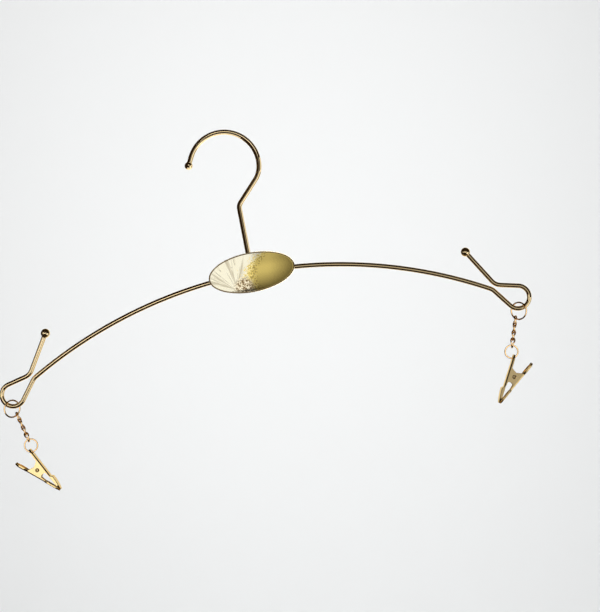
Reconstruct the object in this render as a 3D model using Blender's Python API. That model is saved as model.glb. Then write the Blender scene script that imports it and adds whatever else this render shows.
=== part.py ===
"""A wire hanger with a sprung clip on a short chain at each end.

Units are metres and +Z is up. X runs along the arms and the front faces -Y.
The origin is the hook's saddle: the inner top of the hook, which rests on a rail.
All wires lie in the plane y = 0, and the oval plate stands just in front of them.
"""
import math

import bmesh
import bpy
from mathutils import Matrix, Vector

# Wires
ARM_WIRE_DIAMETER = 0.0030
HOOK_WIRE_DIAMETER = 0.0033
SEAT_GAP = 0.0003

# Arms, from the middle outwards
ARCH_RADIUS = 0.3055
ARCH_TURN_DEG = 29.3
ARM_BELOW_PLATE_CENTRE = 0.0003
SHOULDER_RUN = 0.0010
SHOULDER_RADIUS = 0.0085
SHOULDER_TURN_DEG = 23.6
LOOP_ENTRY_RUN = 0.0139
LOOP_RADIUS = 0.0074
LOOP_TURN_DEG = 219.5
LOOP_EXIT_RUN = 0.0119
FLARE_RADIUS = 0.0080
FLARE_TURN_DEG = 45.1
FREE_LEG_LENGTH = 0.0239

# Hook, from the stem upwards
HOOK_RADIUS = 0.0225
HOOK_TURN_DEG = 163.5
HOOK_TIP_RUN = 0.0042
HOOK_SIDE_RADIUS = 0.0160
HOOK_SIDE_TURN_DEG = 33.5
HOOK_SLANT_RUN = 0.0173
STEM_BEND_RADIUS = 0.0060
STEM_BEND_DEG = 43.5
STEM_HEIGHT_OVER_PLATE_CENTRE = 0.0419

# Balls on the free wire ends
ARM_BALL_DIAMETER = 0.0060
HOOK_BALL_DIAMETER = 0.0052
SOCKET_DEPTH_SHARE = 0.55

# Plate
PLATE_WIDTH = 0.0565
PLATE_HEIGHT = 0.0258
PLATE_EDGE_THICKNESS = 0.0012
PLATE_CROWN = 0.0016
PLATE_RIM_WIDTH = 0.0006
PLATE_RIM_STEP = 0.00015

# Jump rings
UPPER_RING_DIAMETER = 0.0120
UPPER_RING_WIRE = 0.0010
UPPER_RING_SLANT_DEG = 38.0
UPPER_RING_DROP = 0.0016
UPPER_RING_TILT_DEG = 10.9
UPPER_RING_HINGE_RISE = 0.0008
LOWER_RING_DIAMETER = 0.0094
LOWER_RING_WIRE = 0.0010

# Curb chain
LINK_COUNT = 4
LINK_LENGTH = 0.0072
LINK_WIDTH = 0.0048
LINK_WIRE = 0.0010
LINK_TWIST_DEG = 90.0
LINK_GAP = 0.0004
CHAIN_LEAD_DEG = {"left": 45.0, "right": 30.0}
CHAIN_LEAN_DEG = {"left": 13.0, "right": 17.5}

# Clip
JAW_SHEET = 0.0006
RING_JAW_LENGTH = 0.0330
FREE_JAW_LENGTH = 0.0335
JAW_HALF_ANGLE_DEG = 11.2
PIVOT_FROM_TIP = 0.0196
CLIP_WIDTH = 0.0064
NOSE_WIDTH = 0.0072
JAW_FLANGE_DEPTH = 0.0016
NOSE_FLANGE_DEPTH = 0.0010
NOSE_LENGTH = 0.0110
NOSE_BULGE = 0.0011
NOSE_SHOULDER_RUN = 0.0012
NOSE_STATION_SHARES = (0, 0.12, 0.25, 0.45, 0.7, 1)
LIP_STATION_SHARE = 0.25
TIP_WIDTH_SHARE = 0.6
HANDLE_STATION_SHARES = (0, 0.35, 0.7, 1)
END_WIDTH_SHARE = 0.6
END_FLANGE_DEPTH = 0.0010
EAR_RADIUS = 0.0027
EAR_REAR_REACH = 0.0052
EAR_FRONT_DEG = 62.0
EAR_CROWN_DEG = 45.0
ARCH_CUT_RADIUS = 0.0028
ARCH_CUT_FROM_PIVOT = 0.0070
RING_HOLE_DIAMETER = 0.0023
RING_HOLE_PLAY = 0.00045
RING_HOLE_FROM_END = 0.0024
HANDLE_CURL_RUN = 0.0030
HANDLE_CURL_RISE = 0.0007
CLIP_LEAN_DEG = {"left": 38.0, "right": 39.5}

# Rivet and spring
RIVET_DIAMETER = 0.0016
RIVET_HEAD_DIAMETER = 0.0026
RIVET_HEAD_HEIGHT = 0.0006
RIVET_PLAY = 0.0003
COIL_PLAY = 0.00036
SPRING_WIRE = 0.0005
SPRING_TURNS = 2.0
SPRING_PITCH = 0.00095
SPRING_LEG_REACH = 0.0072

# Fineness of the facets
WIRE_RESOLUTION = 4
RING_RESOLUTION = 2
SPRING_RESOLUTION = 1
ARC_SAGITTA = 0.00004
RING_STEPS = 24
LINK_STEPS = 20
SPRING_STEPS = 10
PLATE_STEPS = 56
PLATE_RINGS = 5
TURNED_STEPS = 20
EAR_STEPS = 8
SHARP_EDGE_DEG = 35
OVERRUN = 0.0020

X_AXIS = Vector((1, 0, 0))
Y_AXIS = Vector((0, 1, 0))
Z_AXIS = Vector((0, 0, 1))
RING_DOWN = Matrix.Rotation(math.radians(UPPER_RING_TILT_DEG), 3, "Y") @ -Z_AXIS


def clear_scene():
    """Removes every object of the open scene."""
    for old in list(bpy.data.objects):
        bpy.data.objects.remove(old, do_unlink=True)


def metal(name, colour, roughness):
    """A plated metal material."""
    material = bpy.data.materials.new(name)
    material.use_nodes = True
    shader = material.node_tree.nodes["Principled BSDF"]
    shader.inputs["Base Color"].default_value = (*colour, 1)
    shader.inputs["Metallic"].default_value = 1
    shader.inputs["Roughness"].default_value = roughness
    return material


def add_object(name, data, material, matrix):
    """Links an object with a material at a place."""
    piece = bpy.data.objects.new(name, data)
    bpy.context.scene.collection.objects.link(piece)
    piece.matrix_world = matrix
    if material is not None:
        data.materials.append(material)
    return piece


def hang_under(piece, parent):
    """Parents a piece and keeps its place in the world."""
    world = piece.matrix_world.copy()
    bpy.context.view_layer.update()
    piece.parent = parent
    piece.matrix_parent_inverse = parent.matrix_world.inverted()
    piece.matrix_world = world


def add_pivot(name, place):
    """An empty on a joint's axis, which carries the pieces that turn there."""
    pivot = bpy.data.objects.new(name, None)
    bpy.context.scene.collection.objects.link(pivot)
    pivot.matrix_world = Matrix.Translation(place)
    bpy.context.view_layer.update()
    return pivot


def make_cutter(piece):
    """Marks an object as a cutter."""
    piece.hide_render = True
    piece.display_type = "WIRE"
    return piece


def boolean(piece, cutter, operation):
    """Adds an exact Boolean with a cutter."""
    step = piece.modifiers.new(operation.lower(), "BOOLEAN")
    step.operation = operation
    step.solver = "EXACT"
    step.object = cutter


# Bent wires

def bend_wire(start, heading_deg, runs):
    """Centreline of a wire bent in a plane, as points (x, z), and its last heading.

    Each run is a straight length, then a bend radius and a turn in degrees, positive to the left.
    """
    points = [Vector(start)]
    heading = math.radians(heading_deg)
    for length, radius, turn_deg in runs:
        if length > 0:
            points.append(points[-1] + length * Vector((math.cos(heading), math.sin(heading))))
        if turn_deg == 0:
            continue
        side = math.copysign(1, turn_deg)
        centre = points[-1] + side * radius * Vector((-math.sin(heading), math.cos(heading)))
        step_angle = 2 * math.acos(1 - ARC_SAGITTA / radius)
        steps = math.ceil(math.radians(abs(turn_deg)) / step_angle)
        arm = points[-1] - centre
        for step in range(1, steps + 1):
            angle = math.radians(turn_deg) * step / steps
            turned = Matrix.Rotation(angle, 2) @ arm
            points.append(centre + turned)
        heading += math.radians(turn_deg)
    return points, heading


def wire(name, points, diameter, resolution, material, closed=False, matrix=Matrix.Identity(4)):
    """A round wire along points, as a curve with a bevel and filled caps."""
    curve = bpy.data.curves.new(name, "CURVE")
    curve.dimensions = "3D"
    curve.bevel_depth = diameter / 2
    curve.bevel_resolution = resolution
    curve.use_fill_caps = True
    spline = curve.splines.new("POLY")
    spline.points.add(len(points) - 1)
    for knot, place in zip(spline.points, points):
        knot.co = (*place, 1)
    spline.use_cyclic_u = closed
    spline.use_smooth = True
    return add_object(name, curve, material, matrix)


def to_mesh(curve_piece):
    """Replaces a curve by the mesh that it makes, so that it can be cut."""
    name = curve_piece.name
    matrix = curve_piece.matrix_world.copy()
    bpy.context.view_layer.update()
    mesh = bpy.data.meshes.new_from_object(curve_piece)
    bpy.data.objects.remove(curve_piece, do_unlink=True)
    mesh.name = name
    return add_object(name, mesh, None, matrix)


def in_plane(points):
    """Lifts points (x, z) into the plane y = 0."""
    return [Vector((x, 0, z)) for x, z in points]


def arm_half():
    """Right half of the arm wire from the middle outwards, and the heading of its free leg."""
    runs = [
        (0, ARCH_RADIUS, -ARCH_TURN_DEG),
        (SHOULDER_RUN, SHOULDER_RADIUS, -SHOULDER_TURN_DEG),
        (LOOP_ENTRY_RUN, LOOP_RADIUS, LOOP_TURN_DEG),
        (LOOP_EXIT_RUN, FLARE_RADIUS, -FLARE_TURN_DEG),
        (FREE_LEG_LENGTH, 0, 0),
    ]
    return bend_wire((0, -ARM_BELOW_PLATE_CENTRE), 0, runs)


def hook_route():
    """Hook wire from its foot on the arm wire to its tip, and the heading of its tip."""
    foot = -ARM_BELOW_PLATE_CENTRE
    runs = [
        (STEM_HEIGHT_OVER_PLATE_CENTRE - foot, STEM_BEND_RADIUS, -STEM_BEND_DEG),
        (HOOK_SLANT_RUN, HOOK_SIDE_RADIUS, HOOK_SIDE_TURN_DEG),
        (0, HOOK_RADIUS, HOOK_TURN_DEG),
        (HOOK_TIP_RUN, 0, 0),
    ]
    return bend_wire((0, foot), 90, runs)


def hook_saddle(route, heading):
    """Inner top of the hook, worked out from the end of its round part."""
    centre = route[-2] + HOOK_RADIUS * Vector((-math.sin(heading), math.cos(heading)))
    return centre + Vector((0, HOOK_RADIUS - HOOK_WIRE_DIAMETER / 2))


# Turned and pressed pieces

def mesh_from(name, vertices, faces):
    """A mesh with outward faces, shaded smooth except at sharp edges."""
    mesh = bpy.data.meshes.new(name)
    mesh.from_pydata([tuple(v) for v in vertices], [], faces)
    build = bmesh.new()
    build.from_mesh(mesh)
    bmesh.ops.recalc_face_normals(build, faces=build.faces)
    build.to_mesh(mesh)
    build.free()
    mesh.shade_smooth()
    mesh.set_sharp_from_angle(angle=math.radians(SHARP_EDGE_DEG))
    return mesh


def turned_mesh(name, profile, steps):
    """A closed solid of rings about +Y. Each ring is a half width, a half height and a y."""
    vertices = []
    rings = []
    for half_width, half_height, y in profile:
        if half_width == 0:
            rings.append([len(vertices)])
            vertices.append(Vector((0, y, 0)))
            continue
        ring = []
        for step in range(steps):
            angle = math.tau * step / steps
            ring.append(len(vertices))
            vertices.append(Vector((half_width * math.cos(angle), y, half_height * math.sin(angle))))
        rings.append(ring)
    faces = []
    for low, high in zip(rings, rings[1:]):
        for step in range(steps):
            after = (step + 1) % steps
            if len(low) == 1:
                faces.append((low[0], high[after], high[step]))
            elif len(high) == 1:
                faces.append((low[step], low[after], high[0]))
            else:
                faces.append((low[step], low[after], high[after], high[step]))
    return mesh_from(name, vertices, faces)


def round_profile(pairs):
    """Turns (radius, y) pairs into rings of a round solid."""
    return [(radius, radius, y) for radius, y in pairs]


def arc_points(centre, radius, start_deg, end_deg, steps):
    """Points (a, b) along an arc."""
    points = []
    for step in range(steps + 1):
        angle = math.radians(start_deg + (end_deg - start_deg) * step / steps)
        points.append((centre[0] + radius * math.cos(angle), centre[1] + radius * math.sin(angle)))
    return points


def add_ball(name, wire_end, heading, diameter, wire_diameter, material, shift):
    """A ball with a blind socket that the wire's end stands in."""
    radius = diameter / 2
    direction = Vector((math.cos(heading), 0, math.sin(heading)))
    tip = Vector((wire_end[0], 0, wire_end[1])) + shift
    reach = radius * (1 - SOCKET_DEPTH_SHARE) + SEAT_GAP
    centre = tip + direction * reach
    pairs = [(0, -radius)]
    half_steps = TURNED_STEPS // 2
    for step in range(1, half_steps):
        angle = math.pi * step / half_steps
        pairs.append((radius * math.sin(angle), -radius * math.cos(angle)))
    pairs.append((0, radius))
    matrix = Matrix.Translation(centre) @ Y_AXIS.rotation_difference(direction).to_matrix().to_4x4()
    ball = add_object(name, turned_mesh(name, round_profile(pairs), TURNED_STEPS), material, matrix)
    bore = wire_diameter / 2 + SEAT_GAP
    floor = -radius * (1 - SOCKET_DEPTH_SHARE)
    hole = [(0, -radius - OVERRUN), (bore, -radius - OVERRUN), (bore, floor), (0, floor)]
    mesh = turned_mesh(name + "_socket", round_profile(hole), TURNED_STEPS)
    boolean(ball, make_cutter(add_object(name + "_socket", mesh, None, matrix)), "DIFFERENCE")
    return ball


def add_plate(centre, material):
    """The crowned oval plate with a thin raised rim and a flat back."""
    half_width = PLATE_WIDTH / 2
    half_height = PLATE_HEIGHT / 2
    back = -(HOOK_WIRE_DIAMETER / 2 + SEAT_GAP)
    edge = back - PLATE_EDGE_THICKNESS
    step_in = PLATE_RIM_STEP
    profile = [
        (0, 0, back),
        (half_width - step_in, half_height - step_in, back),
        (half_width, half_height, back - step_in),
        (half_width, half_height, edge + step_in),
        (half_width - step_in, half_height - step_in, edge),
        (half_width - PLATE_RIM_WIDTH, half_height - PLATE_RIM_WIDTH, edge),
    ]
    inner_width = half_width - PLATE_RIM_WIDTH - step_in
    inner_height = half_height - PLATE_RIM_WIDTH - step_in
    for ring in range(PLATE_RINGS, -1, -1):
        share = ring / PLATE_RINGS
        rise = PLATE_CROWN * (1 - share * share)
        profile.append((inner_width * share, inner_height * share, edge + step_in - rise))
    mesh = turned_mesh("name_plate", profile, PLATE_STEPS)
    return add_object("name_plate", mesh, material, Matrix.Translation(centre))


# Rings and chain

def along(direction, sideways):
    """A turn whose X runs along direction and whose Y is as near to sideways as it can be."""
    first = direction.normalized()
    third = first.cross(sideways).normalized()
    second = third.cross(first)
    return Matrix((first, second, third)).transposed().to_4x4()


def ring_points(mean_radius):
    """A ring about +Y, which starts at its lowest point."""
    points = []
    for step in range(RING_STEPS):
        angle = math.tau * step / RING_STEPS
        points.append(Vector((mean_radius * math.sin(angle), 0, -mean_radius * math.cos(angle))))
    return points


def add_ring(name, centre, normal, diameter, wire_diameter, material):
    """A closed jump ring."""
    turn = Y_AXIS.rotation_difference(normal).to_matrix().to_4x4()
    points = ring_points((diameter - wire_diameter) / 2)
    place = Matrix.Translation(centre) @ turn
    return wire(name, points, wire_diameter, RING_RESOLUTION, material, True, place)


def link_points(hand):
    """An oval link along X, twisted evenly about X from end to end. hand is 1 or -1."""
    half_length = (LINK_LENGTH - LINK_WIRE) / 2
    half_width = (LINK_WIDTH - LINK_WIRE) / 2
    points = []
    for step in range(LINK_STEPS):
        angle = math.tau * step / LINK_STEPS
        x = half_length * math.cos(angle)
        side = half_width * math.sin(angle)
        twist = hand * math.radians(LINK_TWIST_DEG) / 2 * x / half_length
        points.append(Vector((x, side * math.cos(twist), side * math.sin(twist))))
    return points


def turned_about(vector, axis, angle_deg):
    """A vector turned about an axis."""
    return Matrix.Rotation(math.radians(angle_deg), 3, axis) @ vector


def chain_places(start, lead, down, first_side, hand):
    """Centre, middle direction and end directions of each link, from the upper ring's wire at start.

    The links share the turn between the two rings evenly, so that the last one crosses the lower ring.
    """
    across = down.cross(Y_AXIS)
    slant = math.atan2(first_side.dot(across), first_side.dot(Y_AXIS))
    torsion = math.remainder(math.pi / 2 - slant, math.pi) / (LINK_COUNT + 1)
    twist_deg = hand * LINK_TWIST_DEG
    half_length = (LINK_LENGTH - LINK_WIRE) / 2
    places = []
    top = start - (lead + down).normalized() * ((UPPER_RING_WIRE + LINK_WIRE) / 2 + LINK_GAP)
    side = turned_about(first_side, down, math.degrees(torsion))
    for _ in range(LINK_COUNT):
        middle = turned_about(side, down, twist_deg / 2)
        bottom_side = turned_about(side, down, twist_deg)
        bottom = top + down * 2 * half_length
        places.append({
            "centre": (top + bottom) / 2,
            "middle": middle,
            "top": top,
            "top_side": side,
            "bottom": bottom,
            "bottom_side": bottom_side,
        })
        side = turned_about(side, down, math.degrees(torsion))
        top = bottom - down * (LINK_WIRE + LINK_GAP)
    return places


# Clip. Its own frame has the rivet at the origin, +X towards the tips and +Z towards the ring jaw.

HALF_ANGLE = math.radians(JAW_HALF_ANGLE_DEG)
JAW_TIP = (PIVOT_FROM_TIP, (JAW_SHEET + SEAT_GAP / 2) / math.cos(HALF_ANGLE))


def jaw_to_clip(u, w, side):
    """Places a jaw's own (u, w) in the clip: u from the tip to the handle, w inwards."""
    x = JAW_TIP[0] - u * math.cos(HALF_ANGLE) - w * math.sin(HALF_ANGLE)
    z = JAW_TIP[1] + u * math.sin(HALF_ANGLE) - w * math.cos(HALF_ANGLE)
    return x, side * z


def clip_to_jaw(x, z):
    """The reverse of jaw_to_clip on the upper side."""
    dx = JAW_TIP[0] - x
    dz = z - JAW_TIP[1]
    u = dx * math.cos(HALF_ANGLE) + dz * math.sin(HALF_ANGLE)
    w = dx * math.sin(HALF_ANGLE) - dz * math.cos(HALF_ANGLE)
    return u, w


def meeting_depth(u):
    """Depth w at which a jaw meets the middle plane of the clip, less half a gap."""
    return (JAW_TIP[1] + u * math.sin(HALF_ANGLE) - SEAT_GAP / 2) / math.cos(HALF_ANGLE)


def nose_back(u, bulge):
    """Depth of the nose's outer face, which swells to the shoulder and steps back behind it."""
    shoulder = NOSE_LENGTH - NOSE_SHOULDER_RUN
    if u >= NOSE_LENGTH:
        return 0.0
    if u > shoulder:
        return -bulge * (NOSE_LENGTH - u) / NOSE_SHOULDER_RUN
    return -bulge * math.sin(math.pi / 2 * u / shoulder)


def nose_stations(bulge, nose_width, waist_width):
    """Stations of the nose from its tip to behind the shoulder."""
    shoulder = NOSE_LENGTH - NOSE_SHOULDER_RUN
    stations = []
    for share in NOSE_STATION_SHARES:
        u = shoulder * share
        top = min(meeting_depth(u), NOSE_FLANGE_DEPTH)
        round_share = min(1, u / (nose_width / 2))
        half = nose_width / 2 * (TIP_WIDTH_SHARE + (1 - TIP_WIDTH_SHARE) * math.sin(math.pi / 2 * round_share))
        stations.append(((u, nose_back(u, bulge)), (u, top), half))
    stations.append(((NOSE_LENGTH, 0.0), (NOSE_LENGTH, NOSE_FLANGE_DEPTH), waist_width / 2))
    return stations


def handle_stations(length, curl, waist_width, grip_width):
    """Stations from behind the ear to the rounded end of the handle."""
    rear = clip_to_jaw(0, 0)[0] + EAR_REAR_REACH
    start = rear + (grip_width - waist_width) / 2 + NOSE_SHOULDER_RUN
    stations = [((rear, 0.0), (rear, JAW_FLANGE_DEPTH), waist_width / 2)]
    stations.append(((start, 0.0), (start, JAW_FLANGE_DEPTH), grip_width / 2))
    round_start = length - grip_width / 2
    for share in HANDLE_STATION_SHARES:
        u = round_start + (length - round_start) * share
        half = grip_width / 2 * (END_WIDTH_SHARE + (1 - END_WIDTH_SHARE) * math.sqrt(1 - share * share))
        bend = max(0, u - (length - HANDLE_CURL_RUN)) / HANDLE_CURL_RUN
        low = curl * bend * bend
        flange = JAW_FLANGE_DEPTH + (END_FLANGE_DEPTH - JAW_FLANGE_DEPTH) * share
        stations.append(((u, low), (u, low + flange), half))
    return stations


def ear_edge():
    """Top edge of the ear as points (u, w): the arched front edge and the round top."""
    pivot = clip_to_jaw(0, 0)
    cut = clip_to_jaw(ARCH_CUT_FROM_PIVOT, 0)
    drop = math.degrees(math.asin((cut[1] - JAW_FLANGE_DEPTH) / ARCH_CUT_RADIUS))
    arch = arc_points(cut, ARCH_CUT_RADIUS, -drop, EAR_FRONT_DEG, EAR_STEPS)
    crown = arc_points(pivot, EAR_RADIUS, 180 - EAR_CROWN_DEG, EAR_CROWN_DEG, EAR_STEPS)
    return arch + crown


def jaw_mesh(name, side, stations, ear_after, ear, lip):
    """A U channel through stations of (bottom, top, half width), solid up to the station lip.

    The ear's edge runs between the station ear_after and the next one.
    """
    vertices = []

    def corner(point, y):
        x, z = jaw_to_clip(point[0], point[1], side)
        vertices.append(Vector((x, y, z)))
        return len(vertices) - 1

    def pair(point, half):
        return corner(point, -half), corner(point, half)

    rows = []
    for number, (bottom, top, half) in enumerate(stations):
        row = {"bottom": pair(bottom, half), "top": pair(top, half)}
        if number >= lip:
            row["inner"] = pair(top, half - JAW_SHEET)
            row["floor"] = pair((bottom[0], bottom[1] + JAW_SHEET), half - JAW_SHEET)
        rows.append(row)
    ear_half = stations[ear_after][2]
    crest = [{"top": pair(point, ear_half), "inner": pair(point, ear_half - JAW_SHEET)} for point in ear]

    faces = []
    for number, (near, far) in enumerate(zip(rows, rows[1:])):
        steps = [near] + (crest if number == ear_after else []) + [far]
        faces.append((*near["bottom"], *far["bottom"][::-1]))
        for edge in (0, 1):
            rim = [step["top"][edge] for step in steps]
            faces.append((near["bottom"][edge], far["bottom"][edge], *rim[::-1]))
            if number >= lip:
                inner = [step["inner"][edge] for step in steps]
                faces.append((near["floor"][edge], far["floor"][edge], *inner[::-1]))
                for low, high in zip(steps, steps[1:]):
                    faces.append((low["top"][edge], high["top"][edge], high["inner"][edge], low["inner"][edge]))
        if number >= lip:
            faces.append((*near["floor"], *far["floor"][::-1]))
        else:
            far_edge = (far["top"][0], *far.get("inner", ()), far["top"][1])
            faces.append((*near["top"], *far_edge[::-1]))
    wall = rows[lip]
    faces.append((*wall["inner"], *wall["floor"][::-1]))
    first = rows[0]
    faces.append((*first["bottom"], *first["top"][::-1]))
    last = rows[-1]
    faces.append((*last["bottom"], last["top"][1], last["inner"][1], last["floor"][1], last["floor"][0],
                  last["inner"][0], last["top"][0]))
    return mesh_from(name, vertices, faces)


def cylinder_cutter(name, radius, reach, matrix):
    """A round cutter along its own Y."""
    pairs = [(0, -reach), (radius, -reach), (radius, reach), (0, reach)]
    mesh = turned_mesh(name, round_profile(pairs), TURNED_STEPS)
    return make_cutter(add_object(name, mesh, None, matrix))


def add_jaw(name, side, length, shape, widths, has_ring_hole, matrix, material):
    """A jaw pressed from sheet: a web with a flange and an ear on each edge."""
    bulge, curl = shape
    nose_width, waist_width, grip_width = widths
    nose = nose_stations(bulge, nose_width, waist_width)
    handle = handle_stations(length, curl, waist_width, grip_width)
    lip = NOSE_STATION_SHARES.index(LIP_STATION_SHARE)
    mesh = jaw_mesh(name, side, nose + handle, len(nose) - 1, ear_edge(), lip)
    jaw = add_object(name, mesh, material, matrix)
    bore = RIVET_DIAMETER / 2 + RIVET_PLAY
    boolean(jaw, cylinder_cutter(name + "_bore", bore, CLIP_WIDTH, matrix), "DIFFERENCE")
    if has_ring_hole:
        x, z = jaw_to_clip(length - RING_HOLE_FROM_END, JAW_SHEET / 2, side)
        inwards = Vector((-math.sin(HALF_ANGLE), 0, -side * math.cos(HALF_ANGLE)))
        turn = Y_AXIS.rotation_difference(inwards).to_matrix().to_4x4()
        place = matrix @ Matrix.Translation(Vector((x, 0, z))) @ turn
        hole = cylinder_cutter(name + "_ring_hole", RING_HOLE_DIAMETER / 2, JAW_SHEET, place)
        boolean(jaw, hole, "DIFFERENCE")
    return jaw


def add_rivet(name, matrix, material):
    """A rivet across the ears with a domed head on each end."""
    shank = RIVET_DIAMETER / 2
    head = RIVET_HEAD_DIAMETER / 2
    seat = CLIP_WIDTH / 2 + RIVET_PLAY
    crown = seat + RIVET_HEAD_HEIGHT
    rim = seat + RIVET_HEAD_HEIGHT / 2
    half = [(shank, seat), (head, seat), (head, rim), ((shank + head) / 2, crown), (0, crown)]
    pairs = [(radius, -y) for radius, y in half[::-1]] + half
    mesh = turned_mesh(name, round_profile(pairs), TURNED_STEPS)
    return add_object(name, mesh, material, matrix)


def spring_leg_end(side):
    """Where a spring leg rests inside a handle, in the clip's frame."""
    pivot_u = clip_to_jaw(0, 0)[0]
    depth = JAW_SHEET + SEAT_GAP + SPRING_WIRE / 2
    return Vector(jaw_to_clip(pivot_u + SPRING_LEG_REACH, depth, side))


def spring_points():
    """One tube: a leg under the ring jaw, the turns round the rivet and a leg under the free jaw."""
    radius = RIVET_DIAMETER / 2 + COIL_PLAY + SPRING_WIRE / 2
    ends = [spring_leg_end(1), spring_leg_end(-1)]
    starts = []
    for end, side in zip(ends, (1, -1)):
        reach = end.length
        angle = math.atan2(end.y, end.x) - side * math.acos(radius / reach)
        starts.append(angle)
    first, last = starts
    turn = -(math.tau * SPRING_TURNS + (first - last) % math.tau)
    steps = math.ceil(abs(turn) / math.tau * SPRING_STEPS)
    length = SPRING_PITCH * abs(turn) / math.tau
    points = [Vector((ends[0].x, -length / 2, ends[0].y))]
    for step in range(steps + 1):
        share = step / steps
        angle = first + turn * share
        points.append(Vector((radius * math.cos(angle), length * (share - 0.5), radius * math.sin(angle))))
    points.append(Vector((ends[1].x, length / 2, ends[1].y)))
    return points


def least_gap(points, wire_diameter, skip):
    """Least clear distance between turns of a tube, measured on its points."""
    least = math.inf
    for low, point in enumerate(points):
        for other in points[low + skip:]:
            least = min(least, (other - point).length)
    return least - wire_diameter


# The whole hanger

def add_side(label, outward, loop_bottom, materials):
    """Ring, chain and clip of one side. outward is 1 on the right and -1 on the left."""
    plated, warm = materials

    # Upper ring, which lies aslant on the loop
    ring_centre = loop_bottom + RING_DOWN * UPPER_RING_DROP
    slant = math.radians(UPPER_RING_SLANT_DEG)
    along_loop = Y_AXIS.cross(-RING_DOWN)
    ring_normal = outward * math.sin(slant) * along_loop + math.cos(slant) * Y_AXIS
    hinge = loop_bottom - RING_DOWN * UPPER_RING_HINGE_RISE
    pivot = add_pivot(label + "_upper_ring_pivot", hinge)
    ring = add_ring(label + "_upper_ring", ring_centre, ring_normal, UPPER_RING_DIAMETER,
                    UPPER_RING_WIRE, warm)
    hang_under(ring, pivot)

    # Chain, which leaves the ring on its inward side
    lead = turned_about(RING_DOWN, ring_normal, outward * CHAIN_LEAD_DEG[label])
    start = ring_centre + lead * (UPPER_RING_DIAMETER - UPPER_RING_WIRE) / 2
    lean = math.radians(CHAIN_LEAN_DEG[label])
    down = Vector((-outward * math.sin(lean), 0, -math.cos(lean)))
    side = (ring_normal - down * ring_normal.dot(down)).normalized()
    places = chain_places(start, lead, down, side, -outward)
    carrier = ring
    joint_places = [("upper_ring", hinge, along_loop)]
    for number, place in enumerate(places, 1):
        even = number % 2 == 0
        hinge = places[number - 2]["bottom"] if even else place["top"]
        axis = places[number - 2]["bottom_side"] if even else place["top_side"]
        joint_places.append((f"chain_link_{number}", hinge, axis))
        pivot = add_pivot(f"{label}_chain_link_{number}_pivot", hinge)
        hang_under(pivot, carrier)
        matrix = Matrix.Translation(place["centre"]) @ along(down, place["middle"])
        name = f"{label}_chain_link_{number}"
        link = wire(name, link_points(-outward), LINK_WIRE, RING_RESOLUTION, warm, True, matrix)
        hang_under(link, pivot)
        carrier = link

    # Lower ring, which lies flat
    last = places[-1]
    ring_top = last["bottom"] - down * ((LINK_WIRE + LOWER_RING_WIRE) / 2 + LINK_GAP)
    mean_radius = (LOWER_RING_DIAMETER - LOWER_RING_WIRE) / 2
    lower_centre = ring_top + down * mean_radius
    pivot = add_pivot(label + "_lower_ring_pivot", last["bottom"])
    hang_under(pivot, carrier)
    lower = add_ring(label + "_lower_ring", lower_centre, Y_AXIS, LOWER_RING_DIAMETER,
                     LOWER_RING_WIRE, warm)
    hang_under(lower, pivot)
    joint_places.append(("lower_ring", last["bottom"], last["bottom_side"]))

    # Clip, whose ring jaw hangs on the lower ring by the outer edge of its hole
    clip_lean = math.radians(CLIP_LEAN_DEG[label])
    nose = Vector((-outward * math.sin(clip_lean), 0, -math.cos(clip_lean)))
    upper = Vector((-outward * math.cos(clip_lean), 0, math.sin(clip_lean)))
    turn = Matrix((nose, upper.cross(nose), upper)).transposed().to_4x4()
    hole_edge = RING_JAW_LENGTH - RING_HOLE_FROM_END + RING_HOLE_DIAMETER / 2
    crossing = clip_lean - HALF_ANGLE
    seat_u = hole_edge - LOWER_RING_WIRE / 2 / math.cos(crossing) - JAW_SHEET / 2 * math.tan(crossing) - RING_HOLE_PLAY
    seat = Vector(jaw_to_clip(seat_u, JAW_SHEET / 2, 1))
    seat_offset = turn @ Vector((seat.x, 0, seat.y))
    ring_seat = lower_centre + Vector((0, 0, -mean_radius))
    clip = Matrix.Translation(ring_seat - seat_offset) @ turn
    pivot = add_pivot(label + "_clip_pivot", ring_seat)
    hang_under(pivot, lower)
    joint_places.append(("ring_jaw", ring_seat, X_AXIS))

    inner_width = CLIP_WIDTH - 2 * JAW_SHEET - 2 * SEAT_GAP
    widths = (NOSE_WIDTH, CLIP_WIDTH, CLIP_WIDTH)
    ring_jaw = add_jaw(label + "_ring_jaw", 1, RING_JAW_LENGTH, (NOSE_BULGE, 0), widths, True, clip, plated)
    hang_under(ring_jaw, pivot)
    rivet = add_rivet(label + "_clip_rivet", clip, plated)
    hang_under(rivet, ring_jaw)
    spring = wire(label + "_clip_spring", spring_points(), SPRING_WIRE, SPRING_RESOLUTION, warm, False, clip)
    hang_under(spring, ring_jaw)
    widths = (CLIP_WIDTH, inner_width, CLIP_WIDTH)
    free_jaw = add_jaw(label + "_free_jaw", -1, FREE_JAW_LENGTH, (0, HANDLE_CURL_RISE), widths, False,
                       clip, plated)
    hang_under(free_jaw, rivet)
    joint_places.append(("free_jaw", clip.translation, Y_AXIS))
    return joint_places


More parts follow.
